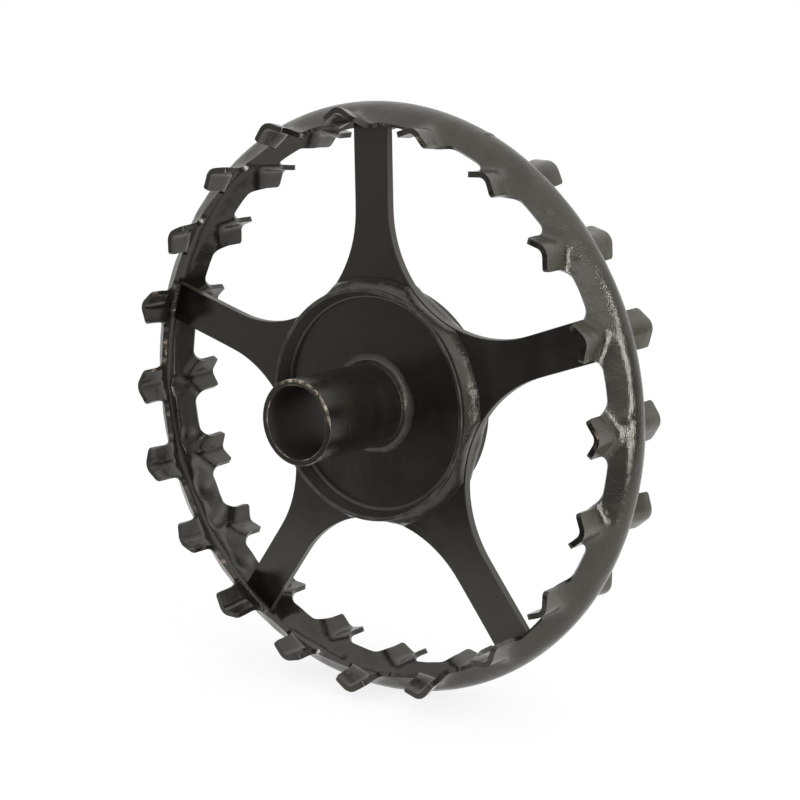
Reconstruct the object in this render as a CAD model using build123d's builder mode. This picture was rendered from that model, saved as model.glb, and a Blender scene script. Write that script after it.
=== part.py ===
"""Crosskill roller ring: a pressed toothed rim welded to a five-armed plate with a dished hub and a long tube.

The ring's axis is Y and its front, where the tube stands out, looks along -Y. The origin is on the axis, in the
middle of the star plate, and the first arm points straight up. Most profiles are drawn in a plane through the
axis, as (distance along the axis, radius). Sizes are in millimetres.
"""
from build123d import *
from math import cos, degrees, radians, sin, sqrt, tan
import os

# Rim: one strip of sheet, arched across its width
rim_radius = 250
strip_thickness = 4.5
crown_bend = 12
flank_angle = 50
strip_half_width = 21

# Lugs: V-shaped tongues on both edges of the strip
lug_count = 20
ridge_radius = 239.5
ridge_bend = 7
lug_angle = 33.5
lug_half_width = 15.7
lug_reach = 47.5
root_radius = 9
fold_radius = 5

# Star plate
arm_count = 5
plate_thickness = 8
arm_width = 34
window_root_radius = 100

# Hub: a tube through two dishes, one on each side of the plate
tube_radius = 35
bore_radius = 30
tube_front = 108
tube_rear = 20
tube_chamfer = 0.8
dish_thickness = 3.5
dish_foot_radius = 93.5
dish_mouth_radius = 99
dish_mouth = 20
dish_bend = 5

# Weld beads
tube_weld_leg = 7
tube_weld_height = 6
dish_weld_radius = 107
dish_weld_height = 12
arm_weld_leg = 8
arm_weld_height = 5
bead_swell = 0.8
seam_gap = 1
seam_half_width = 18
seam_length = 7
seam_height = 1.2

# How far a cut runs on past what it cuts, and how far apart two points on one line may lie
overcut = 5
same_place = 0.01

half_plate = plate_thickness / 2
lug_pitch = 360 / lug_count
arm_pitch = 360 / arm_count

os.makedirs("parts", exist_ok=True)


def save(piece, name):
    """Label a finished piece and write it under its own name."""
    piece.part.label = name
    export_step(piece.part, f"parts/{name}.step")


def radial_plane(angle):
    """The plane through the axis at an angle clockwise from the top: x towards the back, y outward."""
    return Plane(origin=(0, 0, 0), x_dir=(0, 1, 0), z_dir=(cos(radians(angle)), 0, -sin(radians(angle))))


def bent_radius(distance, top, angle, bend):
    """The height of a bent line's straight part at a distance from its middle."""
    return top + bend * (1 / cos(radians(angle)) - 1) - distance * tan(radians(angle))


def bent_line(half_span, top, angle, bend):
    """A line that falls away at an angle on both sides of a rounded top."""
    peak = (0, bent_radius(0, top, angle, bend))
    foot = bent_radius(half_span, top, angle, bend)
    return FilletPolyline((-half_span, foot), peak, (half_span, foot), radius=bend)


def space_under(half_span, floor, bent):
    """The outline of what lies between a bent line and a floor."""
    line = bent_line(half_span, *bent)
    Polyline(line @ 0, (-half_span, floor), (half_span, floor), line @ 1)


# The outside of the strip and of the lugs, and their undersides one thickness deeper
strip_top = (rim_radius, flank_angle, crown_bend)
strip_underside = (rim_radius - strip_thickness, flank_angle, crown_bend - strip_thickness)
lug_top = (ridge_radius, lug_angle, ridge_bend)
lug_underside = (ridge_radius - strip_thickness, lug_angle, ridge_bend - strip_thickness)

# Both are drawn wider than the sheet, which the notches between the lugs then cut to its outline
strip_span = strip_half_width + root_radius
lug_span = lug_half_width + root_radius
rim_floor = rim_radius - 60
strip_edge_radius = bent_radius(strip_half_width, *strip_top)
lug_edge_radius = bent_radius(lug_half_width, *lug_top)
half_pitch = radians(lug_pitch / 2)
notch_half_width = lug_edge_radius * sin(half_pitch) - lug_half_width * cos(half_pitch)
notch_depth = 35


def on_fold(edge, strip_line, lug_line):
    """Whether an edge is one where the strip's flank turns into a lug."""
    point = edge @ 0.5
    radius = sqrt(point.X**2 + point.Z**2)
    on_flank = abs(radius - bent_radius(abs(point.Y), *strip_line)) < same_place
    on_lug_side = abs(point.Z - bent_radius(abs(point.X), *lug_line)) < same_place
    on_lug_ridge = abs(point.X) < same_place and abs(point.Z - lug_line[0]) < same_place
    return on_flank and (on_lug_side or on_lug_ridge)


with BuildPart() as rim_pitch:
    with BuildSketch(radial_plane(-lug_pitch / 2)):
        with BuildLine():
            space_under(strip_span, rim_floor, strip_top)
        make_face()
    revolve(axis=Axis.Y, revolution_arc=lug_pitch)
    with BuildSketch(Plane.XZ):
        with BuildLine():
            space_under(lug_span, rim_floor, lug_top)
        make_face()
    extrude(amount=lug_reach, both=True)
    with BuildSketch(radial_plane(-lug_pitch)):
        with BuildLine():
            space_under(strip_span + overcut, rim_floor - overcut, strip_underside)
        make_face()
    revolve(axis=Axis.Y, revolution_arc=2 * lug_pitch, mode=Mode.SUBTRACT)
    with BuildSketch(Plane.XZ):
        with BuildLine():
            space_under(lug_span + overcut, rim_floor - overcut, lug_underside)
        make_face()
    extrude(amount=lug_reach + overcut, both=True, mode=Mode.SUBTRACT)
    # A notch on each side of the lug at both edges, cut square through the flank, with rounded roots
    for gap_angle in (-lug_pitch / 2, lug_pitch / 2):
        outward = Vector(sin(radians(gap_angle)), 0, cos(radians(gap_angle)))
        for side in (-1, 1):
            through_sheet = outward * cos(radians(flank_angle)) + Vector(0, side * sin(radians(flank_angle)), 0)
            with BuildSketch(Plane(outward * strip_edge_radius, x_dir=(0, 1, 0), z_dir=outward)):
                with Locations((side * (strip_half_width + lug_reach), 0)):
                    Rectangle(2 * lug_reach, 2 * notch_half_width)
                fillet(vertices().group_by(Axis.X)[0 if side > 0 else -1], root_radius)
            extrude(amount=notch_depth, dir=through_sheet, both=True, mode=Mode.SUBTRACT)
    fillet([edge for edge in edges() if on_fold(edge, strip_top, lug_top)], fold_radius)

with BuildPart() as toothed_rim:
    with Locations(*[Rotation(0, turn * lug_pitch, 0) for turn in range(lug_count)]):
        add(rim_pitch.part)
save(toothed_rim, "toothed_rim")

# The bead over the butt joint of the strip, in the second gap to the right of the top lug
seam_arc = degrees(seam_length / rim_radius)
seam_angle = (seam_gap + 0.5) * lug_pitch
with BuildPart() as rim_seam_weld:
    with BuildSketch(radial_plane(seam_angle - seam_arc / 2)):
        with BuildLine():
            over = bent_line(seam_half_width, rim_radius + seam_height, flank_angle, crown_bend + seam_height)
            under = bent_line(seam_half_width, *strip_top)
            Line(over @ 0, under @ 0)
            Line(over @ 1, under @ 1)
        make_face()
    revolve(axis=Axis.Y, revolution_arc=seam_arc)
save(rim_seam_weld, "rim_seam_weld")

# The windows between the arms end in one arc that runs into both arms
half_arm_pitch = radians(arm_pitch / 2)
window_radius = (window_root_radius * sin(half_arm_pitch) - arm_width / 2) / (1 - sin(half_arm_pitch))
window_distance = window_root_radius + window_radius
arm_start_radius = sqrt((window_distance * cos(half_arm_pitch)) ** 2 + (arm_width / 2) ** 2)


def star_outline():
    """The star plate's outline, with arms that run on to the rim's outside."""
    Circle(arm_start_radius)
    with PolarLocations(window_distance, arm_count, start_angle=90 + arm_pitch / 2):
        Circle(window_radius, mode=Mode.SUBTRACT)
    with PolarLocations(rim_radius / 2, arm_count, start_angle=90):
        Rectangle(rim_radius, arm_width)


with BuildPart() as star_plate:
    with BuildSketch(Plane.XZ):
        star_outline()
        Circle(tube_radius, mode=Mode.SUBTRACT)
    extrude(amount=half_plate, both=True)
    # The arm ends are bedded against the underside of the strip
    with BuildSketch(Plane.YZ):
        with BuildLine():
            space_under(strip_half_width, 0, strip_underside)
        make_face()
    revolve(axis=Axis.Y, mode=Mode.INTERSECT)
save(star_plate, "star_plate")

# Each dish lies with its floor against the plate and opens away from it
wall_slope = (dish_mouth_radius - dish_foot_radius) / (dish_mouth - half_plate)
wall_width = dish_thickness * sqrt(1 + wall_slope**2)
floor_face = half_plate + dish_thickness
inner_foot_radius = dish_foot_radius + wall_slope * dish_thickness - wall_width


def dish_back_line():
    """The line of a dish's back, from the tube along the plate and up the wall to the mouth."""
    return FilletPolyline(
        (-half_plate, tube_radius),
        (-half_plate, dish_foot_radius),
        (-dish_mouth, dish_mouth_radius),
        radius=dish_bend + dish_thickness,
    )


with BuildPart() as front_hub_dish:
    with BuildSketch(radial_plane(0)):
        with BuildLine():
            back = dish_back_line()
            bowl = FilletPolyline(
                (-floor_face, tube_radius),
                (-floor_face, inner_foot_radius),
                (-dish_mouth, dish_mouth_radius - wall_width),
                radius=dish_bend,
            )
            Line(back @ 0, bowl @ 0)
            Line(back @ 1, bowl @ 1)
        make_face()
    revolve(axis=Axis.Y)
save(front_hub_dish, "front_hub_dish")

with BuildPart() as rear_hub_dish:
    mirror(front_hub_dish.part, about=Plane.XZ)
save(rear_hub_dish, "rear_hub_dish")

with BuildPart() as hub_tube:
    with BuildSketch(Plane.XZ.offset(-tube_rear)):
        Circle(tube_radius)
        Circle(bore_radius, mode=Mode.SUBTRACT)
    extrude(amount=tube_rear + tube_front)
    chamfer(edges().filter_by(GeomType.CIRCLE).group_by(SortBy.RADIUS)[-1], tube_chamfer)
save(hub_tube, "hub_tube")

# The beads between tube and dish floors
with BuildPart() as front_tube_weld:
    with BuildSketch(radial_plane(0)):
        with BuildLine():
            corner = (-floor_face, tube_radius)
            floor_toe = (-floor_face, tube_radius + tube_weld_leg)
            tube_toe = (-floor_face - tube_weld_height, tube_radius)
            Polyline(tube_toe, corner, floor_toe)
            SagittaArc(floor_toe, tube_toe, bead_swell)
        make_face()
    revolve(axis=Axis.Y)
save(front_tube_weld, "front_tube_weld")

with BuildPart() as rear_tube_weld:
    mirror(front_tube_weld.part, about=Plane.XZ)
save(rear_tube_weld, "rear_tube_weld")

# The beads round the dishes, which stop where the plate does
with BuildPart() as front_dish_weld:
    with BuildSketch(radial_plane(0)):
        with BuildLine():
            wall_toe = (-half_plate - dish_weld_height, dish_foot_radius + wall_slope * dish_weld_height)
            plate_toe = (-half_plate, dish_weld_radius)
            Polyline(wall_toe, (wall_toe[0], tube_radius), (-half_plate, tube_radius), plate_toe)
            SagittaArc(plate_toe, wall_toe, -bead_swell)
        make_face()
        with BuildLine():
            wall = dish_back_line()
            Polyline(wall @ 0, (-dish_mouth, tube_radius), wall @ 1)
        make_face(mode=Mode.SUBTRACT)
    revolve(axis=Axis.Y)
    with BuildSketch(Plane.XZ):
        star_outline()
    extrude(amount=dish_mouth, mode=Mode.INTERSECT)
save(front_dish_weld, "front_dish_weld")

with BuildPart() as rear_dish_weld:
    mirror(front_dish_weld.part, about=Plane.XZ)
save(rear_dish_weld, "rear_dish_weld")

# The beads across the arm ends, on the front and the back of each arm
arm_end_radius = rim_radius - strip_thickness
arm_arc = degrees(arm_width / arm_end_radius)
weld_toe = half_plate + arm_weld_height
for arm in range(arm_count):
    for side, face_name in ((-1, "front"), (1, "rear")):
        with BuildPart() as arm_weld:
            with BuildSketch(radial_plane(arm * arm_pitch - arm_arc / 2)):
                with BuildLine():
                    space_under(strip_half_width, rim_floor, strip_underside)
                make_face()
                toe_radius = bent_radius(weld_toe, *strip_underside)
                with BuildLine():
                    Polyline(
                        (side * weld_toe, toe_radius),
                        (side * weld_toe, rim_radius),
                        (side * half_plate, rim_radius),
                        (side * half_plate, arm_end_radius - arm_weld_leg),
                        close=True,
                    )
                make_face(mode=Mode.INTERSECT)
            revolve(axis=Axis.Y, revolution_arc=arm_arc)
        save(arm_weld, f"arm_{arm + 1}_{face_name}_weld")
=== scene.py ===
import bpy
import bmesh
from math import asin, cos, pi, radians, sin, sqrt, tan
from mathutils import Matrix, Vector


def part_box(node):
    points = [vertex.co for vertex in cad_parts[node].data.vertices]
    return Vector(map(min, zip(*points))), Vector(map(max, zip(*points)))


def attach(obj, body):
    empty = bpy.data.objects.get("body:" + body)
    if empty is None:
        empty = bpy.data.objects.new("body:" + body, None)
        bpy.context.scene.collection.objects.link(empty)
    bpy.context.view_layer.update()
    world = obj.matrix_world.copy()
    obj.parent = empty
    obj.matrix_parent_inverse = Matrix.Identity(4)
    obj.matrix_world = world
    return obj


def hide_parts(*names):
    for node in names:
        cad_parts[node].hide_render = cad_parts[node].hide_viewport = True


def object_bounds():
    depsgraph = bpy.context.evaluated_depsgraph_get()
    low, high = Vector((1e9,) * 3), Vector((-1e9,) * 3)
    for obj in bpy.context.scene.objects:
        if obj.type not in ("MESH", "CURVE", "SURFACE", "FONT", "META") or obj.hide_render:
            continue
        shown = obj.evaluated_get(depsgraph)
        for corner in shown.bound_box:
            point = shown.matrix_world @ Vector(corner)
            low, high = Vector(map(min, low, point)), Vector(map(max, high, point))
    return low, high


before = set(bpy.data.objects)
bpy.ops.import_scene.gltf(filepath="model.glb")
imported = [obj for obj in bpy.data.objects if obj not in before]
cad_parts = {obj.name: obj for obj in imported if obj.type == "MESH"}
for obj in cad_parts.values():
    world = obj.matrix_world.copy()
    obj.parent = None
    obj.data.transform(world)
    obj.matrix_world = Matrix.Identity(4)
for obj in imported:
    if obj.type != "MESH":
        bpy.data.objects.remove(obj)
cad_low, cad_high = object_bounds()

# The view. The camera stands in front of the ring, to its right and a little above it. The ring in
# the photograph is turned a little about its own axle, so the camera is turned by as much about
# the same axis.
view_azimuth = radians(36.28)
view_elevation = radians(11.7)
view_roll = radians(1.14)
ring_turn = radians(2.65)
view_distance = 1.3525
view_aim = Vector((0.02253, 0, 0.00492))
focal_pixels = 1620.5
picture_pixels = 800
sensor_width = 36

camera = bpy.data.objects.new("camera", bpy.data.cameras.new("camera"))
bpy.context.scene.collection.objects.link(camera)
bpy.context.scene.camera = camera
camera.data.sensor_width = sensor_width
camera.data.lens = sensor_width * focal_pixels / picture_pixels
camera.data.clip_start = 0.05
camera.data.clip_end = 50


def heading(azimuth, elevation):
    """The direction that lies at an angle from the ring's front, towards its right, and at a height."""
    level = cos(elevation)
    return Vector((sin(azimuth) * level, -cos(azimuth) * level, sin(elevation)))


back = heading(view_azimuth, view_elevation)
level = Vector((cos(view_azimuth), sin(view_azimuth), 0))
upright = back.cross(level)
right = level * cos(view_roll) + upright * sin(view_roll)
above = upright * cos(view_roll) - level * sin(view_roll)
facing = Matrix((right, above, back)).transposed().to_4x4()
standpoint = Matrix.Translation(view_aim + back * view_distance) @ facing
camera.matrix_world = Matrix.Rotation(ring_turn, 4, "Y") @ standpoint
bpy.context.scene.view_settings.view_transform = "Standard"


class Nodes:
    """A node tree that is filled one node at a time."""

    def __init__(self, tree):
        self.tree = tree

    def node(self, kind, settings=None, **inputs):
        """Adds a node, sets what it is, fills or links its sockets, and returns its outputs by name."""
        made = self.tree.nodes.new(kind)
        for name, value in (settings or {}).items():
            setattr(made, name, value)
        for name, value in inputs.items():
            wanted = name.replace("_", " ")
            sockets = [socket for socket in made.inputs if socket.enabled and socket.name == wanted]
            for socket, item in zip(sockets, value if isinstance(value, list) else [value]):
                if isinstance(item, Value):
                    self.tree.links.new(item.socket, socket)
                else:
                    socket.default_value = item
        return {socket.name: Value(self, socket) for socket in reversed(made.outputs) if socket.enabled}


class Value:
    """A socket that Python's operators work with. Each of them adds a Math node."""

    def __init__(self, nodes, socket):
        self.nodes = nodes
        self.socket = socket

    def math(self, operation, *values):
        return self.nodes.node("ShaderNodeMath", {"operation": operation}, Value=list(values))["Value"]

    def __add__(self, other):
        return self.math("ADD", self, other)

    def __radd__(self, other):
        return self.math("ADD", other, self)

    def __sub__(self, other):
        return self.math("SUBTRACT", self, other)

    def __rsub__(self, other):
        return self.math("SUBTRACT", other, self)

    def __mul__(self, other):
        return self.math("MULTIPLY", self, other)

    def __rmul__(self, other):
        return self.math("MULTIPLY", other, self)

    def __truediv__(self, other):
        return self.math("DIVIDE", self, other)

    def __rtruediv__(self, other):
        return self.math("DIVIDE", other, self)

    def __abs__(self):
        return self.math("ABSOLUTE", self)

    def __gt__(self, other):
        return self.math("GREATER_THAN", self, other)

    def __lt__(self, other):
        return self.math("LESS_THAN", self, other)

    def sine(self):
        return self.math("SINE", self)

    def larger(self, other):
        return self.math("MAXIMUM", self, other)

    def step(self, low, high):
        """0 below low, 1 above high and a smooth rise between them."""
        settings = {"interpolation_type": "SMOOTHSTEP"}
        ends = {"From_Min": low, "From_Max": high}
        return self.nodes.node("ShaderNodeMapRange", settings, Value=self, **ends)["Result"]


def new_material(name):
    """A material with an empty tree, and the tree."""
    material = bpy.data.materials.new(name)
    material.use_nodes = True
    material.node_tree.nodes.clear()
    return material, Nodes(material.node_tree)


def mix_colours(nodes, share, first, second):
    """The first colour where the share is 0 and the second where it is 1."""
    return nodes.node("ShaderNodeMix", {"data_type": "RGBA"}, Factor=share, A=first, B=second)["Result"]


def vector_math(nodes, operation, *values):
    return nodes.node("ShaderNodeVectorMath", {"operation": operation}, Vector=list(values))["Vector"]


def scaled(nodes, value, factor):
    settings = {"operation": "SCALE"}
    return nodes.node("ShaderNodeVectorMath", settings, Vector=value, Scale=factor)["Vector"]


def joined(nodes, x, y, z):
    return nodes.node("ShaderNodeCombineXYZ", X=x, Y=y, Z=z)["Vector"]


def parted(nodes, value):
    parts = nodes.node("ShaderNodeSeparateXYZ", Vector=value)
    return parts["X"], parts["Y"], parts["Z"]


def noise(nodes, place, scale, detail=2.0, roughness=0.5):
    """A pattern of blots about 1 / scale metres across, from 0 to 1."""
    return nodes.node(
        "ShaderNodeTexNoise", Vector=place, Scale=scale, Detail=detail, Roughness=roughness
    )["Fac"]


# The studio: a pale table under the ring, in a room with soft light from above and a tall panel to
# the right. The room is dark below the table, beyond its left corner and far to the right. The
# black enamel mirrors all of that, and its tones come from there.
table_half_width = 0.95
table_front = 0.4
table_reach = 0.42
table_colour = (0.9, 0.9, 0.9, 1)
table_pale_colour = (0.93, 0.93, 0.93, 1)
table_share_seen_white = 0.82
room_level = 0.68
ceiling_level = 0.65
dark_corner = heading(radians(-29), radians(-11.5))
dark_core, dark_edge = radians(4), radians(12)
corner_darkness = 0.97
floor_darkness = 0.65
right_darkness = 0.75

ring_foot = cad_low.z
table_mesh = bpy.data.meshes.new("table")
table_outline = [
    (-table_half_width, -table_front),
    ((table_reach - table_front * cos(view_azimuth)) / sin(view_azimuth), -table_front),
    (table_half_width, (table_half_width * sin(view_azimuth) - table_reach) / cos(view_azimuth)),
    (table_half_width, table_half_width),
    (-table_half_width, table_half_width),
]
table_corners = [(across, along, ring_foot) for across, along in table_outline]
table_mesh.from_pydata(table_corners, [], [range(len(table_corners))])
table = bpy.data.objects.new("table", table_mesh)
bpy.context.scene.collection.objects.link(table)

table_white, nodes = new_material("table_white")
path = nodes.node("ShaderNodeLightPath")
seen = path["Is Camera Ray"].larger(path["Is Transmission Ray"]).larger(path["Is Glossy Ray"])
cloudy = noise(nodes, nodes.node("ShaderNodeTexCoord")["Object"], 3.0)
tint = mix_colours(nodes, cloudy, table_colour, table_pale_colour)
lit = nodes.node("ShaderNodeBsdfDiffuse", Color=tint)["BSDF"]
white = nodes.node("ShaderNodeEmission", Color=(1, 1, 1, 1), Strength=1.0)["Emission"]
white_share = seen * table_share_seen_white
surface = nodes.node("ShaderNodeMixShader", Fac=white_share, Shader=[lit, white])["Shader"]
nodes.node("ShaderNodeOutputMaterial", Surface=surface)
table_mesh.materials.append(table_white)

room = bpy.data.worlds.new("room")
bpy.context.scene.world = room
room.use_nodes = True
room.node_tree.nodes.clear()
nodes = Nodes(room.node_tree)
path = nodes.node("ShaderNodeLightPath")
direction = nodes.node("ShaderNodeTexCoord")["Generated"]
across, along, up = parted(nodes, direction)
behind = along.step(0.66, 0.9)
seen = path["Is Camera Ray"].larger(path["Is Transmission Ray"]).larger(path["Is Glossy Ray"] * behind)
towards_dark = nodes.node(
    "ShaderNodeVectorMath", {"operation": "DOT_PRODUCT"}, Vector=[direction, tuple(dark_corner)]
)["Value"]
lit_share = 1 - towards_dark.step(cos(dark_edge), cos(dark_core)) * corner_darkness
below_table = 1 - up.step(-0.34, -0.16)
far_right = across.step(0.8, 0.93) * (1 - up.step(0.3, 0.6))
lit_share = lit_share * (1 - below_table * floor_darkness) * (1 - far_right * right_darkness)
room_light = (up.step(0.1, 0.9) * ceiling_level + room_level) * lit_share
soft = nodes.node("ShaderNodeBackground", Color=(1, 1, 1, 1), Strength=room_light)["Background"]
backdrop = nodes.node("ShaderNodeBackground", Color=(1, 1, 1, 1), Strength=1.0)["Background"]
sky = nodes.node("ShaderNodeMixShader", Fac=seen, Shader=[soft, backdrop])["Shader"]
nodes.node("ShaderNodeOutputWorld", Surface=sky)


def light_panel(name, direction, distance, size, radiance):
    """A soft panel lamp that faces the ring from a direction."""
    lamp = bpy.data.lights.new(name, "AREA")
    lamp.shape = "RECTANGLE"
    lamp.size, lamp.size_y = size
    lamp.energy = radiance * pi * size[0] * size[1]
    panel = bpy.data.objects.new(name, lamp)
    bpy.context.scene.collection.objects.link(panel)
    panel.location = direction * distance
    panel.rotation_euler = (-direction).to_track_quat("-Z", "Y").to_euler()


by_camera = heading(radians(42), radians(28))
to_the_right = heading(radians(80), radians(4))
light_panel("panel_by_camera", by_camera, distance=2.4, size=(1.5, 1.3), radiance=1.2)
light_panel("panel_right", to_the_right, distance=1.9, size=(0.3, 1.7), radiance=19)

# Toothed rim: one strip of 4.5 mm steel sheet, pressed to an arch with V-shaped lugs on both edges,
# then rolled to a ring and butt welded. It is made one lug pitch at a time, as the press does it,
# and work has bent some of the lugs.
rim_radius = cad_high.z
lug_play = 0.0014
room_for_bumps = 0.0005
lug_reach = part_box("toothed_rim")[1].y - room_for_bumps
strip_thickness = 0.0045
crown_bend = 0.017
crown_half_width = 0.012
flank_angle = radians(54)
strip_half_width = 0.021
lug_count = 20
ridge_radius = 0.2388
ridge_bend = 0.011
lug_angle = radians(33.5)
lug_half_width = 0.0157
root_radius = 0.009
tip_round = 0.0028
fold_blend = 0.01
half_pitch = pi / lug_count
sheet_edge_round = 0.0008
lug_columns = 15
gap_columns = 6
strip_rows = 7
root_rows = 6
lug_rows = 6
tip_rows = 3

# Lugs knocked out of line, as (lug clockwise from the top one, at the back, outward, clockwise)
bent_lugs = [
    (0, 0, 0.006, 0.0),
    (9, 0, 0.005, 0.003),
    (10, 0, 0.004, 0.002),
    (12, 0, 0.005, 0.002),
    (14, 0, 0.006, 0.0015),
    (16, 0, 0.0015, 0.001),
    (17, 0, -0.003, 0.0),
    (18, 0, 0.001, 0.0),
    (19, 0, 0.006, 0.0),
    (2, 1, 0.008, 0.0),
    (3, 1, 0.003, 0.0),
    (4, 1, 0.006, 0.0),
    (5, 1, 0.003, 0.0),
    (6, 1, 0.008, 0.0),
    (7, 1, 0.006, 0.0),
]

# Dents and lumps that the press, the rolls and work have left in the sheet, as (degrees clockwise
# from the top, place along the axle, outward, radius). A dent outside is a lump on the inside.
dents = [
    (-92, 0.011, -0.0016, 0.012),
    (-104, 0.0145, -0.002, 0.014),
    (-115.5, 0.0145, -0.0026, 0.015),
    (-123.5, 0.0115, -0.0014, 0.01),
    (-134, 0.015, -0.0022, 0.014),
    (-152, 0.013, -0.0022, 0.015),
    (-170, 0.012, -0.002, 0.014),
    (39.8, -0.0164, 0.0006, 0.0022),
    (45.1, -0.0176, -0.0006, 0.0022),
    (56.6, -0.0153, 0.0012, 0.0045),
    (58.9, -0.019, 0.0009, 0.003),
    (87, -0.0135, 0.0012, 0.007),
    (105, -0.0183, 0.0008, 0.003),
    (107, -0.017, 0.0008, 0.003),
    (122, -0.0185, 0.0008, 0.003),
]


def bent_height(distance, top, angle, bend):
    """The height of a bent sheet at a distance from the middle of its rounded top."""
    if abs(distance) < bend * sin(angle):
        return top - bend + sqrt(bend**2 - distance**2)
    return top + bend * (1 / cos(angle) - 1) - abs(distance) * tan(angle)


def sheet_point(across, along):
    """The point of the sheet's outside at a distance across the lug and along the axle."""
    strip_radius = bent_height(along, rim_radius, flank_angle, crown_bend)
    strip = sqrt(max(strip_radius**2 - across**2, 0))
    lug = bent_height(across, ridge_radius, lug_angle, ridge_bend)
    overlap = max(fold_blend - abs(strip - lug), 0)
    return Vector((across, along, max(strip, lug) + overlap**2 / (4 * fold_blend)))


def between(start, end, steps):
    """Evenly spaced values from start to end, both included."""
    return [start + (end - start) * step / steps for step in range(steps + 1)]


def pitch_mesh():
    """One pitch of the rim's outside: the strip from gap to gap, with a lug on either edge."""
    root_end = lug_half_width + root_radius
    over_lug = between(0, root_end, lug_columns)
    crown = between(0, crown_half_width, strip_rows)
    flank = between(crown_half_width, strip_half_width, strip_rows)
    rows = []
    for along in crown + flank[1:]:
        gap_middle = bent_height(along, rim_radius, flank_angle, crown_bend) * sin(half_pitch)
        over_gap = between(root_end, gap_middle, gap_columns)
        rows.append([(s, along) for s in over_lug + over_gap[1:]])
    for turn in between(0, pi / 2, root_rows)[1:]:
        half_width = root_end - root_radius * sin(turn)
        along = strip_half_width + root_radius * (1 - cos(turn))
        rows.append([(s, along) for s in between(0, half_width, lug_columns)])
    for along in between(strip_half_width + root_radius, lug_reach - tip_round, lug_rows)[1:]:
        rows.append([(s, along) for s in between(0, lug_half_width, lug_columns)])
    for turn in between(0, pi / 2, tip_rows)[1:]:
        half_width = lug_half_width - tip_round * (1 - cos(turn))
        along = lug_reach - tip_round * (1 - sin(turn))
        rows.append([(s, along) for s in between(0, half_width, lug_columns)])
    mesh = bmesh.new()
    for mirror_across, mirror_along in ((1, 1), (-1, 1), (-1, -1), (1, -1)):
        points = []
        for row in rows:
            places = [sheet_point(s * mirror_across, along * mirror_along) for s, along in row]
            points.append([mesh.verts.new(place) for place in places])
        for row, next_row in zip(points, points[1:]):
            for corners in zip(row, row[1:], next_row[1:], next_row):
                mesh.faces.new(corners if mirror_across == mirror_along else corners[::-1])
    bmesh.ops.remove_doubles(mesh, verts=mesh.verts, dist=1e-5)
    data = bpy.data.meshes.new("rim_pitch")
    mesh.to_mesh(data)
    mesh.free()
    return data


def geometry_tree(name, inputs):
    """A Geometry Nodes tree with the named inputs, its nodes and its input values."""
    group = bpy.data.node_groups.new(name, "GeometryNodeTree")
    group.interface.new_socket("Geometry", in_out="INPUT", socket_type="NodeSocketGeometry")
    group.interface.new_socket("Geometry", in_out="OUTPUT", socket_type="NodeSocketGeometry")
    for label, kind in inputs.items():
        group.interface.new_socket(label, in_out="INPUT", socket_type=kind)
    nodes = Nodes(group)
    return group, nodes, nodes.node("NodeGroupInput")


def settle(piece):
    """Turns a piece with its modifiers into a plain mesh."""
    bpy.context.view_layer.update()
    evaluated = piece.evaluated_get(bpy.context.evaluated_depsgraph_get())
    made = bpy.data.meshes.new_from_object(evaluated)
    piece.modifiers.clear()
    piece.data = made
    made.name = piece.name


def grow(piece, group, **values):
    """Runs a Geometry Nodes tree on a piece with the named values, and keeps the result as a mesh."""
    modifier = piece.modifiers.new(group.name, "NODES")
    modifier.node_group = group
    for item in group.interface.items_tree:
        label = item.name.replace(" ", "_")
        if item.in_out == "INPUT" and label in values:
            modifier[item.identifier] = values[label]
    settle(piece)


def new_piece(name, data):
    """Puts a mesh into the scene as an object."""
    piece = bpy.data.objects.new(name, data)
    bpy.context.scene.collection.objects.link(piece)
    return piece


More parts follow.
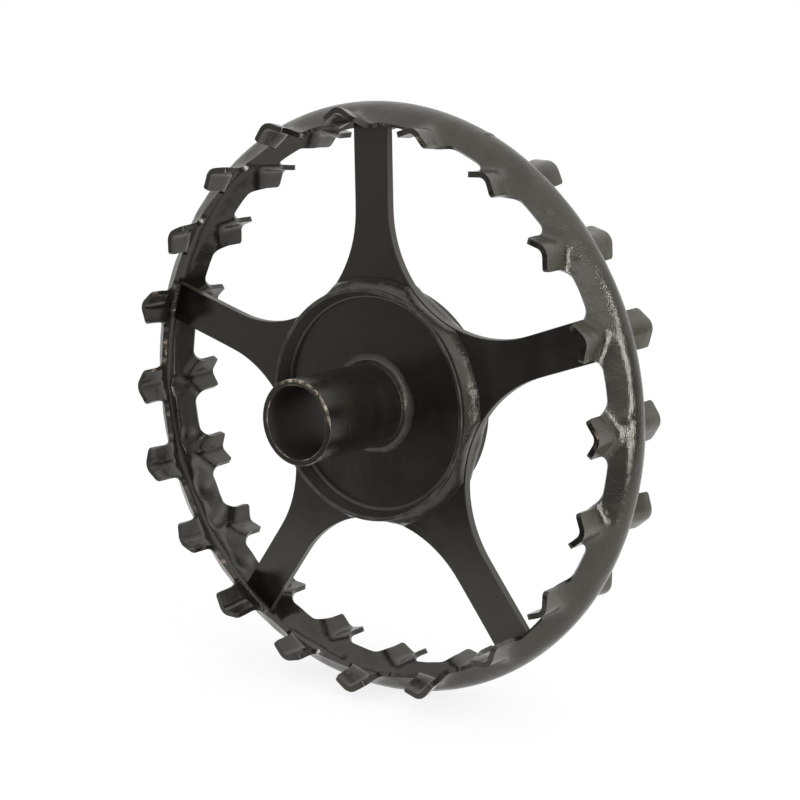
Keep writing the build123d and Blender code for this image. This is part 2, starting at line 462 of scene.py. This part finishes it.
def rim_tree():
    """The ring of pitches, with each lug bent its own way and the whole sheet a little uneven."""
    inputs = {
        "Lug Count": "NodeSocketInt",
        "Lug Play": "NodeSocketFloat",
        "Waviness": "NodeSocketFloat",
        "Seed": "NodeSocketInt",
        "Paint": "NodeSocketMaterial",
    }
    group, nodes, given = geometry_tree("rim_of_pitches", inputs)
    points = nodes.node("GeometryNodePoints", Count=given["Lug Count"])["Points"]
    index = nodes.node("GeometryNodeInputIndex")["Index"]
    turn = index * (2 * pi / lug_count)
    about_axle = joined(nodes, 0.0, turn, 0.0)
    rotation = nodes.node("FunctionNodeEulerToRotation", Euler=about_axle)["Rotation"]
    pitches = nodes.node(
        "GeometryNodeInstanceOnPoints", Points=points, Instance=given["Geometry"], Rotation=rotation
    )["Instances"]
    numbered = {"data_type": "INT", "domain": "INSTANCE"}
    ring = nodes.node(
        "GeometryNodeStoreNamedAttribute", numbered, Geometry=pitches, Name="lug", Value=index
    )["Geometry"]
    ring = nodes.node("GeometryNodeRealizeInstances", Geometry=ring)["Geometry"]
    ring = nodes.node("GeometryNodeMergeByDistance", Geometry=ring, Distance=2e-5)["Geometry"]

    place = nodes.node("GeometryNodeInputPosition")["Position"]
    x, y, z = parted(nodes, place)
    outward = vector_math(nodes, "NORMALIZE", joined(nodes, x, 0.0, z))
    onward = vector_math(nodes, "CROSS_PRODUCT", (0, 1, 0), outward)
    out_on_lug = abs(y).step(strip_half_width - 0.003, lug_reach)
    lug = nodes.node("GeometryNodeInputNamedAttribute", {"data_type": "INT"}, Name="lug")["Attribute"]
    side = y > 0
    identity = lug * 2 + side
    lift, shift = 0.0, 0.0
    for number, at_back, up, on in bent_lugs:
        this_one = abs(identity - (number * 2 + at_back)) < 0.5
        lift = this_one * up + lift
        shift = this_one * on + shift
    play = []
    for channel in range(3):
        seed = given["Seed"] + channel
        spread = nodes.node(
            "FunctionNodeRandomValue", {"data_type": "FLOAT"}, Min=-1.0, Max=1.0, ID=identity, Seed=seed
        )["Value"]
        play.append(spread * given["Lug Play"])
    up = scaled(nodes, outward, out_on_lug * (lift + play[0]))
    on = scaled(nodes, onward, out_on_lug * (shift + play[1]))
    shortened = out_on_lug * (play[2] - given["Lug Play"]) * (side * 2 - 1) * 0.5
    inward = joined(nodes, 0.0, shortened, 0.0)
    bend = vector_math(nodes, "ADD", vector_math(nodes, "ADD", up, on), inward)
    ring = nodes.node("GeometryNodeSetPosition", Geometry=ring, Offset=bend)["Geometry"]

    place = nodes.node("GeometryNodeInputPosition")["Position"]
    normal = nodes.node("GeometryNodeInputNormal")["Normal"]
    on_flank = abs(parted(nodes, place)[1]).step(0.003, 0.012)
    long_waves = noise(nodes, place, 24.0, 1.0)
    short_waves = noise(nodes, place, 65.0, 1.0) * 0.3
    height = (long_waves + short_waves - 0.7) * on_flank * given["Waviness"]
    for degrees, along, depth, radius in dents:
        turn = radians(degrees)
        out = bent_height(along, rim_radius, flank_angle, crown_bend)
        middle = (out * sin(turn), along, out * cos(turn))
        distance = nodes.node(
            "ShaderNodeVectorMath", {"operation": "DISTANCE"}, Vector=[place, middle]
        )["Value"]
        height = height + (1 - distance.step(0.0, radius)) * depth
    swell = scaled(nodes, normal, height)
    ring = nodes.node("GeometryNodeSetPosition", Geometry=ring, Offset=swell)["Geometry"]
    ring = nodes.node("GeometryNodeRealizeInstances", Geometry=ring)["Geometry"]
    ring = nodes.node("GeometryNodeSetMaterial", Geometry=ring, Material=given["Paint"])["Geometry"]
    nodes.node("NodeGroupOutput", Geometry=ring)
    return group


def paint_finish(nodes, place, colour, film, film_cover, gloss, peel):
    """Black enamel: a thin dusty film in clouds over the black, and a skin like orange peel."""
    clouds = noise(nodes, place, 17.0, 4.0, 0.6)
    streaks = noise(nodes, vector_math(nodes, "MULTIPLY", place, (1, 1, 0.22)), 70.0, 3.0)
    cover = clouds.step(0.35, 0.72) * 0.6 + streaks.step(0.4, 0.75) * 0.4
    shade = mix_colours(nodes, cover * film_cover, (*colour, 1), (*film, 1))
    skin = noise(nodes, place, 700.0, 2.0, 0.6) * 0.8 + noise(nodes, place, 140.0, 1.0)
    roughness = cover * 0.1 + gloss + (noise(nodes, place, 60.0, 5.0, 0.7) - 0.5) * 0.14
    normal = nodes.node("ShaderNodeBump", Strength=peel, Distance=0.0005, Height=skin)["Normal"]
    return shade, roughness, normal


enamel_ior = 1.55
enamel_tint = (1.0, 0.955, 0.86, 1)
brown_steel = (0.10, 0.068, 0.044, 1)


def finish(nodes, colour, roughness, normal):
    """Ends a material with an enamelled surface, whose reflections are a little warm."""
    surface = nodes.node(
        "ShaderNodeBsdfPrincipled",
        Base_Color=colour, Roughness=roughness, Normal=normal,
        IOR=enamel_ior, Specular_Tint=enamel_tint,
    )["BSDF"]
    nodes.node("ShaderNodeOutputMaterial", Surface=surface)


def rim_paint_material():
    """Thin grey-black enamel, worn to brown steel at the tips of the lugs."""
    material, nodes = new_material("rim_paint")
    place = nodes.node("ShaderNodeTexCoord")["Object"]
    shade, roughness, normal = paint_finish(
        nodes, place,
        colour=(0.015, 0.0138, 0.0112), film=(0.036, 0.0335, 0.026),
        film_cover=0.75, gloss=0.085, peel=0.7,
    )
    from_middle = abs(parted(nodes, place)[1])
    on_lug = from_middle.step(strip_half_width, strip_half_width + 0.008)
    olive_dust = (0.044, 0.0425, 0.032, 1)
    shade = mix_colours(nodes, on_lug * 0.6, shade, olive_dust)
    tip = from_middle.step(lug_reach - 0.007, lug_reach - 0.0012)
    chips = noise(nodes, place, 130.0, 5.0, 0.65)
    used = noise(nodes, place, 13.0, 1.0).step(0.6, 0.7)
    worn = tip * used * chips.step(0.54, 0.62)
    specks = noise(nodes, place, 75.0, 6.0, 0.75).step(0.72, 0.75)
    bare = worn.larger(specks)
    steel = mix_colours(nodes, chips.step(0.56, 0.72), brown_steel, (0.38, 0.33, 0.25, 1))
    shade = mix_colours(nodes, bare * 0.7, shade, steel)
    finish(nodes, shade, roughness + bare * 0.25, normal)
    return material


def rim_inside_material():
    """The same enamel on the strip's inside: glossier, and darker as painted shade."""
    material, nodes = new_material("rim_inside")
    place = nodes.node("ShaderNodeTexCoord")["Object"]
    # Painted shade: darker colour and film than outside, for the shade inside the ring.
    shade, roughness, normal = paint_finish(
        nodes, place,
        colour=(0.008, 0.0073, 0.006), film=(0.022, 0.020, 0.016),
        film_cover=0.6, gloss=0.12, peel=0.4,
    )
    finish(nodes, shade, roughness, normal)
    return material


def rim_edge_material():
    """Thick black enamel on the strip's sheared edges, worn to brown steel at a few lugs."""
    material, nodes = new_material("rim_edge")
    place = nodes.node("ShaderNodeTexCoord")["Object"]
    shade, roughness, normal = paint_finish(
        nodes, place,
        colour=(0.006, 0.0052, 0.0042), film=(0.016, 0.014, 0.011),
        film_cover=0.5, gloss=0.14, peel=0.3,
    )
    chips = noise(nodes, place, 130.0, 5.0, 0.65)
    rubbed_and_highlight = noise(nodes, place, 11.0, 1.0).step(0.58, 0.66) * chips.step(0.5, 0.6)
    steel = mix_colours(nodes, chips.step(0.56, 0.7), brown_steel, (0.4, 0.34, 0.25, 1))
    shade = mix_colours(nodes, rubbed_and_highlight * 0.8, shade, steel)
    finish(nodes, shade, roughness + rubbed_and_highlight * 0.25, normal)
    return material


rim_paint = rim_paint_material()
toothed_rim = new_piece("rim_sheet", pitch_mesh())
grow(
    toothed_rim,
    rim_tree(),
    Lug_Count=lug_count,
    Lug_Play=lug_play,
    Waviness=0.003,
    Seed=4,
    Paint=rim_paint,
)
toothed_rim.data.materials.append(rim_inside_material())
toothed_rim.data.materials.append(rim_edge_material())
wall = toothed_rim.modifiers.new("thickness", "SOLIDIFY")
wall.thickness = strip_thickness
wall.offset = -1
wall.use_even_offset = True
wall.material_offset = 1
wall.material_offset_rim = 2


def round_edges(piece, width, least_angle=50):
    """Rounds the sharp edges of a piece and makes its faces smooth."""
    soft_edge = piece.modifiers.new("soft_edge", "BEVEL")
    soft_edge.width = width
    soft_edge.segments = 2
    soft_edge.limit_method = "ANGLE"
    soft_edge.angle_limit = radians(least_angle)
    soft_edge.harden_normals = True
    piece.data.polygons.foreach_set("use_smooth", [True] * len(piece.data.polygons))
    settle(piece)


round_edges(toothed_rim, sheet_edge_round)
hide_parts("toothed_rim")
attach(toothed_rim, "root")

# Rim seam: the weld over the strip's butt joint, in the second gap to the right of the top lug. Its
# front is ground down almost flush, a few lumps are left on the crown, and the rim's enamel runs
# over it.
seam_turn = radians(27)
seam_half_reach = 0.018
seam_half_width = 0.0035
seam_height = 0.0011
seam_ground_share = 0.1
seam_crown_share = 0.8
seam_ground_from = -0.004
seam_run_out = 0.003
seam_bedding = 0.0002
seam_root_depth = 0.002
seam_root_share = 0.8
seam_slope = 57
seam_steepest = 50
seam_steps = 60
seam_face_steps = 12


def strip(stations, closed):
    """A mesh through rings of points, one after another, with closed ends unless it runs round."""
    mesh = bmesh.new()
    rings = [[mesh.verts.new(point) for point in station] for station in stations]
    for ring, next_ring in zip(rings, rings[1:] + rings[:1] if closed else rings[1:]):
        for corners in zip(ring, ring[1:] + ring[:1], next_ring[1:] + next_ring[:1], next_ring):
            mesh.faces.new(corners)
    if not closed:
        mesh.faces.new(rings[0])
        mesh.faces.new(rings[-1][::-1])
    bmesh.ops.recalc_face_normals(mesh, faces=mesh.faces)
    data = bpy.data.meshes.new("strip")
    mesh.to_mesh(data)
    mesh.free()
    data.polygons.foreach_set("use_smooth", [True] * len(data.polygons))
    return data


def at_turn(along, radius, turn):
    """The point at a place along the axle, at a radius, at an angle clockwise from the top."""
    return Vector((radius * sin(turn), along, radius * cos(turn)))


def bead_tree():
    """Weld metal: ripples along the bead, and lumps. Both fade out at the pieces that it joins."""
    inputs = {
        "Ripple Height": "NodeSocketFloat",
        "Ripple Length": "NodeSocketFloat",
        "Lump Height": "NodeSocketFloat",
        "Lump Size": "NodeSocketFloat",
        "Paint": "NodeSocketMaterial",
    }
    group, nodes, given = geometry_tree("weld_bead", inputs)
    place = nodes.node("GeometryNodeInputPosition")["Position"]
    normal = nodes.node("GeometryNodeInputNormal")["Normal"]
    number = {"data_type": "FLOAT"}
    run = nodes.node("GeometryNodeInputNamedAttribute", number, Name="run")["Attribute"]
    open_face = nodes.node("GeometryNodeInputNamedAttribute", number, Name="open_face")["Attribute"]
    drift = noise(nodes, place, 90.0, 2.0)
    ripple = (run * (2 * pi) / given["Ripple Length"] + drift * 9).sine()
    lumps = noise(nodes, place, 1 / given["Lump Size"])
    height = ripple * given["Ripple Height"] + (lumps - 0.5) * given["Lump Height"] * 2
    swell = scaled(nodes, normal, height * open_face)
    skin = nodes.node("GeometryNodeSetPosition", Geometry=given["Geometry"], Offset=swell)["Geometry"]
    skin = nodes.node("GeometryNodeRealizeInstances", Geometry=skin)["Geometry"]
    skin = nodes.node("GeometryNodeSetMaterial", Geometry=skin, Material=given["Paint"])["Geometry"]
    nodes.node("NodeGroupOutput", Geometry=skin)
    return group


def weld_paint_material():
    """Thick glossy enamel over rough weld metal, with a few brown spots."""
    material, nodes = new_material("weld_paint")
    place = nodes.node("ShaderNodeTexCoord")["Object"]
    shade, roughness, normal = paint_finish(
        nodes, place,
        colour=(0.011, 0.010, 0.008), film=(0.036, 0.033, 0.027),
        film_cover=0.7, gloss=0.14, peel=0.8,
    )
    spots = noise(nodes, place, 110.0, 5.0, 0.7).step(0.66, 0.7)
    shade = mix_colours(nodes, spots * 0.7, shade, (0.10, 0.06, 0.035, 1))
    finish(nodes, shade, roughness + spots * 0.2, normal)
    return material


weld_bead = bead_tree()
weld_paint = weld_paint_material()
ripple_length = 0.004


def weld_piece(
    name, stations, runs, open_points, lump, lump_size, ripple=0.0, closed=True, paint=weld_paint
):
    """A bead through stations, of whose points the first few lie on its open face, toes included."""
    data = strip(stations, closed)
    points = len(stations[0])
    run = data.attributes.new("run", "FLOAT", "POINT")
    open_face = data.attributes.new("open_face", "FLOAT", "POINT")
    run.data.foreach_set("value", [value for value in runs for _ in range(points)])
    arch = [sin(pi * i / (open_points - 1)) if i < open_points else 0 for i in range(points)]
    count = len(runs)
    ends = [1 if closed else min(1, 4 * min(i, count - 1 - i) / count) for i in range(count)]
    open_face.data.foreach_set("value", [value * end for end in ends for value in arch])
    piece = new_piece(name + "_metal", data)
    grow(
        piece,
        weld_bead,
        Ripple_Height=ripple,
        Ripple_Length=ripple_length,
        Lump_Height=lump,
        Lump_Size=lump_size,
        Paint=paint,
    )
    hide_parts(name)
    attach(piece, "root")


seam_stations = []
seam_runs = between(-seam_half_reach, seam_half_reach, seam_steps)
for along in seam_runs:
    skin_radius = bent_height(along, rim_radius, flank_angle, crown_bend)
    slope = radians(max(-seam_steepest, min(seam_steepest, along / crown_bend * seam_slope)))
    fullness = seam_ground_share if along < seam_ground_from else seam_crown_share
    lift = seam_height * fullness * min(1, (seam_half_reach - abs(along)) / seam_run_out)
    station = []
    for share in between(-1, 1, seam_face_steps):
        height = lift * (1 - share**2) - seam_bedding
        turn = seam_turn + share * seam_half_width / rim_radius
        station.append(at_turn(along + sin(slope) * height, skin_radius + cos(slope) * height, turn))
    for share in (seam_root_share, -seam_root_share):
        turn = seam_turn + share * seam_half_width / rim_radius
        station.append(at_turn(along, skin_radius - seam_root_depth, turn))
    seam_stations.append(station)
weld_piece(
    "rim_seam_weld", seam_stations, seam_runs, seam_face_steps + 1,
    lump=0.0005, lump_size=0.004, closed=False, paint=rim_paint,
)

# Star plate: 8 mm plate, cut by flame or laser to five arms with round windows between them. The
# arm ends are bedded against the inside of the rim, and the middle lies between the two dishes.
arm_count = 5
arm_pitch = 2 * pi / arm_count
plate_half_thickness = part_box("front_dish_weld")[1].y * -1
arm_half_width = 0.017
window_root_radius = 0.1
arm_end_radius = 0.2443
window_radius = (window_root_radius * sin(arm_pitch / 2) - arm_half_width) / (1 - sin(arm_pitch / 2))
window_distance = window_root_radius + window_radius
window_start = window_distance * cos(arm_pitch / 2)
plate_hole_radius = 0.036
edge_round = 0.0007
arm_end_steps = 8
arm_side_steps = 12
window_steps = 36


def arm_directions(turn):
    """The directions along and across an arm at an angle from the top, as (across, up)."""
    return Vector((sin(turn), cos(turn))), Vector((cos(turn), -sin(turn)))


def plate_outline():
    """The star's outline as (across, up) points, clockwise from the left corner of the top arm."""
    outline = []
    end_half_turn = asin(arm_half_width / arm_end_radius)
    side_end = arm_end_radius * cos(end_half_turn)
    half_sweep = pi / 2 - arm_pitch / 2
    for arm in range(arm_count):
        turn = arm * arm_pitch
        outward, onward = arm_directions(turn)
        for end_turn in between(-end_half_turn, end_half_turn, arm_end_steps):
            outline.append(arm_directions(turn + end_turn)[0] * arm_end_radius)
        for distance in between(side_end, window_start, arm_side_steps)[1:-1]:
            outline.append(outward * distance + onward * arm_half_width)
        middle = turn + arm_pitch / 2
        centre = arm_directions(middle)[0] * window_distance
        for sweep in between(half_sweep, -half_sweep, window_steps):
            outline.append(centre + arm_directions(middle + pi + sweep)[0] * window_radius)
        outward, onward = arm_directions(turn + arm_pitch)
        for distance in between(window_start, side_end, arm_side_steps)[1:-1]:
            outline.append(outward * distance - onward * arm_half_width)
    return outline


def plate_mesh(outline):
    """The plate: both faces from the outline in to the hole, and the two cut edges."""
    mesh = bmesh.new()
    for along in (-plate_half_thickness, plate_half_thickness):
        for points in (outline, [point.normalized() * plate_hole_radius for point in outline]):
            for point in points:
                mesh.verts.new((point.x, along, point.y))
    mesh.verts.ensure_lookup_table()
    count = len(outline)
    for i in range(count):
        j = (i + 1) % count
        for a, b in ((0, 1), (1, 3), (3, 2), (2, 0)):
            corners = (a * count + i, a * count + j, b * count + j, b * count + i)
            mesh.faces.new([mesh.verts[k] for k in corners])
    bmesh.ops.recalc_face_normals(mesh, faces=mesh.faces)
    data = bpy.data.meshes.new("plate")
    mesh.to_mesh(data)
    mesh.free()
    return data


def plate_paint_material():
    """Black enamel on flat plate, with a dull, paler film on the cut edges."""
    material, nodes = new_material("plate_paint")
    place = nodes.node("ShaderNodeTexCoord")["Object"]
    shade, roughness, normal = paint_finish(
        nodes, place,
        colour=(0.0055, 0.005, 0.0042), film=(0.014, 0.013, 0.011),
        film_cover=0.5, gloss=0.2, peel=0.15,
    )
    from_middle = abs(parted(nodes, place)[1])
    cut_edge = 1 - from_middle.step(plate_half_thickness - edge_round, plate_half_thickness - 0.0004)
    shade = mix_colours(nodes, cut_edge * 0.6, shade, (0.07, 0.062, 0.045, 1))
    specks = noise(nodes, place, 120.0, 5.0, 0.75).step(0.71, 0.74)
    shade = mix_colours(nodes, specks * 0.7, shade, (0.16, 0.14, 0.12, 1))
    finish(nodes, shade, roughness + cut_edge * 0.15, normal)
    return material


outline = plate_outline()
star_plate = new_piece("plate_star", plate_mesh(outline))
star_plate.data.materials.append(plate_paint_material())
round_edges(star_plate, edge_round)
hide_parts("star_plate")
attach(star_plate, "root")

# Hub dishes: two pans pressed from 3.5 mm sheet, one on each face of the plate. Their floors lie
# against it and their walls lean outwards. The walls have a painted sheen and the lips a painted
# highlight.
dish_thickness = 0.0035
dish_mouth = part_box("rear_hub_dish")[1].y
dish_mouth_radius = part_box("rear_hub_dish")[1].x
dish_foot_radius = 0.0935
dish_bend = 0.0035
dish_lip_round = 0.0009
tube_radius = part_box("hub_tube")[1].x
wall_slope = (dish_mouth_radius - dish_foot_radius) / (dish_mouth - plate_half_thickness)
wall_width = dish_thickness * sqrt(1 + wall_slope**2)
dish_floor = plate_half_thickness + dish_thickness
inner_foot_radius = dish_foot_radius + wall_slope * dish_thickness - wall_width
dish_hole_radius = tube_radius + 0.0003
dish_steps = 160


def rounded(corners, steps=7):
    """A closed outline through corners given as (along, radius, rounding)."""
    points = []
    for before, corner, after in zip(corners[-1:] + corners, corners, corners[1:] + corners[:1]):
        place, rounding = Vector(corner[:2]), corner[2]
        if not rounding:
            points.append(place)
            continue
        into = (Vector(before[:2]) - place).normalized()
        out_of = (Vector(after[:2]) - place).normalized()
        half_angle = into.angle(out_of) / 2
        centre = place + (into + out_of).normalized() * rounding / sin(half_angle)
        start = place + into * rounding / tan(half_angle) - centre
        end = place + out_of * rounding / tan(half_angle) - centre
        for share in between(0, 1, steps):
            points.append(centre + (start * (1 - share) + end * share).normalized() * rounding)
    return points


def held(outline, hold=0.0004):
    """The outline with a point near each end of its long straight stretches, which then shade flat."""
    points = []
    for start, end in zip(outline, outline[1:] + outline[:1]):
        points.append(start)
        if (end - start).length > 6 * hold:
            step = (end - start).normalized() * hold
            points += [start + step, end - step]
    return points


def turned(outline, steps, side=1):
    """The solid that an outline of (along, radius) points makes when it is turned about the axle."""
    outline = held(outline)
    turns = [2 * pi * step / steps for step in range(steps)]
    return strip([[at_turn(p.x * side, p.y, turn) for p in outline] for turn in turns], True)


def dish_paint_material():
    """Black enamel, darkest of all; painted sheen on the walls, painted highlight on the lip."""
    material, nodes = new_material("dish_paint")
    place = nodes.node("ShaderNodeTexCoord")["Object"]
    shade, roughness, normal = paint_finish(
        nodes, place,
        colour=(0.0055, 0.0045, 0.0038), film=(0.011, 0.0092, 0.008),
        film_cover=0.7, gloss=0.2, peel=0.14,
    )
    from_middle = abs(parted(nodes, place)[1])
    lip = from_middle.step(dish_mouth - 0.0011, dish_mouth - 0.0004)
    # Painted sheen: the walls are made lighter than the floor, for the light that they catch.
    wall = from_middle.step(dish_floor + 0.001, dish_floor + 0.004)
    shade = mix_colours(nodes, wall * 0.8, shade, (0.022, 0.02, 0.0165, 1))
    # Painted highlight: paler patches on the lip, for the light that its rounded edge catches.
    rubbed_and_highlight = lip * noise(nodes, place, 60.0, 4.0).step(0.45, 0.6)
    shade = mix_colours(nodes, rubbed_and_highlight * 0.5, shade, (0.07, 0.064, 0.055, 1))
    finish(nodes, shade, roughness, normal)
    return material


dish_corners = [
    (plate_half_thickness, dish_hole_radius, 0),
    (plate_half_thickness, dish_foot_radius, dish_bend + dish_thickness),
    (dish_mouth, dish_mouth_radius, dish_lip_round),
    (dish_mouth, dish_mouth_radius - wall_width, dish_lip_round),
    (dish_floor, inner_foot_radius, dish_bend),
    (dish_floor, dish_hole_radius, 0),
]
dish_paint = dish_paint_material()
for side, name in ((-1, "front_hub_dish"), (1, "rear_hub_dish")):
    dish = new_piece(name + "_pan", turned(rounded(dish_corners), dish_steps, side))
    dish.data.materials.append(dish_paint)
    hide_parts(name)
    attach(dish, "root")

# Hub tube: 70 x 5 mm steel tube that runs on the roller's axle. Its ends are sawn off square, and
# the front one has lost its paint where it rubs against the next ring.
bore_radius = 0.03
tube_front = -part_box("hub_tube")[0].y
tube_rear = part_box("hub_tube")[1].y
outer_round = 0.001
bore_round = 0.0006
tube_steps = 144
tube_corners = [
    (-tube_front, tube_radius, outer_round),
    (tube_rear, tube_radius, outer_round),
    (tube_rear, bore_radius, bore_round),
    (-tube_front, bore_radius, bore_round),
]


def tube_paint_material():
    """Black enamel, chipped to cream primer on the front end and worn bare on its edges."""
    material, nodes = new_material("tube_paint")
    place = nodes.node("ShaderNodeTexCoord")["Object"]
    shade, roughness, normal = paint_finish(
        nodes, place,
        colour=(0.0065, 0.0052, 0.0042), film=(0.016, 0.013, 0.0105),
        film_cover=0.7, gloss=0.22, peel=0.2,
    )
    across, along, up = parted(nodes, place)
    front_end = 1 - along.step(-tube_front + 0.0003, -tube_front + 0.0013)
    rear_end = along.step(tube_rear - 0.001, tube_rear - 0.0002)
    chips = noise(nodes, place, 120.0, 6.0, 0.7)
    streaks = noise(nodes, place, 60.0, 4.0)
    radius = nodes.node(
        "ShaderNodeVectorMath", {"operation": "LENGTH"}, Vector=joined(nodes, across, 0.0, up)
    )["Value"]
    burrs = radius.step(tube_radius - 0.0009, tube_radius - 0.0004).larger(
        1 - radius.step(bore_radius + 0.0003, bore_radius + 0.0008)
    )
    upper_right = (across * 0.55 + up).step(0.018, 0.032)
    outer_half = radius.step(0.0318, 0.0334)
    chipped = upper_right * outer_half * chips.step(0.42, 0.55) * 0.7
    rubbed_and_highlight = burrs * streaks.step(0.45, 0.65) * 0.6
    bare = front_end * chipped.larger(rubbed_and_highlight)
    bare = bare.larger(rear_end * chips.step(0.56, 0.62) * 0.35)
    metal = mix_colours(nodes, chips.step(0.45, 0.65), (0.2, 0.15, 0.1, 1), (0.66, 0.6, 0.47, 1))
    inside = 1 - radius.step(bore_radius + 0.0001, bore_radius + 0.0004)
    shade = mix_colours(nodes, inside * 0.8, shade, (0.02, 0.017, 0.014, 1))
    roughness = roughness + inside * 0.2
    shade = mix_colours(nodes, bare, shade, metal)
    finish(nodes, shade, roughness + bare * 0.2, normal)
    return material


hub_tube = new_piece("tube_body", turned(rounded(tube_corners), tube_steps))
hub_tube.data.materials.append(tube_paint_material())
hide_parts("hub_tube")
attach(hub_tube, "root")

# Tube welds: one smooth, hollow bead of painted weld metal round the tube on each dish's floor. Like
# all the beads, it sinks a little into the pieces that it joins.
tube_weld_leg = 0.0085
tube_weld_height = 0.0075
tube_weld_hollow = 0.0028
tube_weld_steps = 240
bead_face_steps = 10
sunk = 0.0006


def bead_face(first_toe, second_toe, swell, steps):
    """Points from one toe of a bead to the other, swelling out of the straight line to its left."""
    first, second = Vector(first_toe), Vector(second_toe)
    run = second - first
    outward = Vector((-run.y, run.x)).normalized()
    return [first + run * share + outward * swell * sin(pi * share) for share in between(0, 1, steps)]


floor_toe = (dish_floor - sunk * 0.2, tube_radius + tube_weld_leg)
tube_toe = (dish_floor + tube_weld_height, tube_radius - sunk * 0.2)
section = bead_face(floor_toe, tube_toe, -tube_weld_hollow, bead_face_steps)
section.append(Vector((dish_floor - sunk, tube_radius - sunk)))
turns = [2 * pi * step / tube_weld_steps for step in range(tube_weld_steps)]
runs = [turn * (tube_radius + tube_weld_leg) for turn in turns]
for side, name in ((-1, "front_tube_weld"), (1, "rear_tube_weld")):
    stations = [[at_turn(p.x * side, p.y, turn) for p in section] for turn in turns]
    weld_piece(name, stations, runs, bead_face_steps + 1, lump=0.0006, lump_size=0.013)

# Dish welds: a wide, full bead of painted weld metal round each dish on the plate. It is cut short
# at the windows, where the plate ends, and hangs a little over the cut edge.
dish_weld_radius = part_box("front_dish_weld")[1].x
dish_weld_height = -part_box("front_dish_weld")[0].y - plate_half_thickness
dish_weld_swell = 0.0016
dish_weld_steps = 480
under_wall, inside_wall, under_foot = 0.001, 0.0015, 0.004


def plate_reach(turn):
    """How far the plate reaches from the axle at an angle from the top."""
    from_window = abs((turn % arm_pitch) - arm_pitch / 2)
    if from_window > asin(min(1, window_radius / window_distance)):
        return dish_weld_radius
    middle = window_distance * cos(from_window)
    return middle - sqrt(max(window_radius**2 - (window_distance * sin(from_window)) ** 2, 0))


wall_toe_along = plate_half_thickness + dish_weld_height
wall_toe_radius = dish_foot_radius + wall_slope * dish_weld_height
wall_toe = (wall_toe_along, wall_toe_radius - sunk * 0.3)
turns = [2 * pi * step / dish_weld_steps for step in range(dish_weld_steps)]
runs = [turn * dish_foot_radius for turn in turns]
for side, name in ((-1, "front_dish_weld"), (1, "rear_dish_weld")):
    stations = []
    for turn in turns:
        toe_radius = min(dish_weld_radius, plate_reach(turn) - edge_round)
        plate_toe = (plate_half_thickness - sunk * 0.3, toe_radius)
        section = bead_face(plate_toe, wall_toe, dish_weld_swell, bead_face_steps)
        section.append(Vector((wall_toe_along - under_wall, wall_toe_radius - inside_wall)))
        section.append(Vector((plate_half_thickness - sunk, toe_radius - under_foot)))
        stations.append([at_turn(p.x * side, p.y, turn) for p in section])
    weld_piece(name, stations, runs, bead_face_steps + 1, lump=0.0007, lump_size=0.011)

# Arm welds: a short bead of painted weld metal across the end of each arm, on both faces of the
# plate, against the strip's inside. It is rougher than the others and shows its ripples.
arm_weld_leg = 0.008
arm_weld_height = 0.005
arm_weld_swell = 0.0012
arm_weld_ripple = 0.0003
arm_weld_steps = 48
arm_weld_face_steps = 8


def underside(along):
    """The radius of the strip's inside at a place along the axle."""
    return bent_height(along, rim_radius - strip_thickness, flank_angle, crown_bend - strip_thickness)


strip_toe_along = plate_half_thickness + arm_weld_height
strip_toe = (strip_toe_along, underside(strip_toe_along) + sunk * 0.5)
plate_toe = (plate_half_thickness - sunk * 0.3, rim_radius - strip_thickness - arm_weld_leg)
section = bead_face(strip_toe, plate_toe, arm_weld_swell, arm_weld_face_steps)
section.append(Vector((plate_half_thickness - sunk, underside(plate_half_thickness))))
half_turn = asin(arm_half_width / arm_end_radius)
shares = between(-1, 1, arm_weld_steps)
for arm in range(arm_count):
    turns = [arm * arm_pitch + share * half_turn for share in shares]
    runs = [turn * arm_end_radius for turn in turns]
    for side, name in ((-1, "front"), (1, "rear")):
        stations = [[at_turn(p.x * side, p.y, turn) for p in section] for turn in turns]
        weld_piece(
            f"arm_{arm + 1}_{name}_weld", stations, runs, arm_weld_face_steps + 1,
            lump=0.0012, lump_size=0.007, ripple=arm_weld_ripple, closed=False,
        )
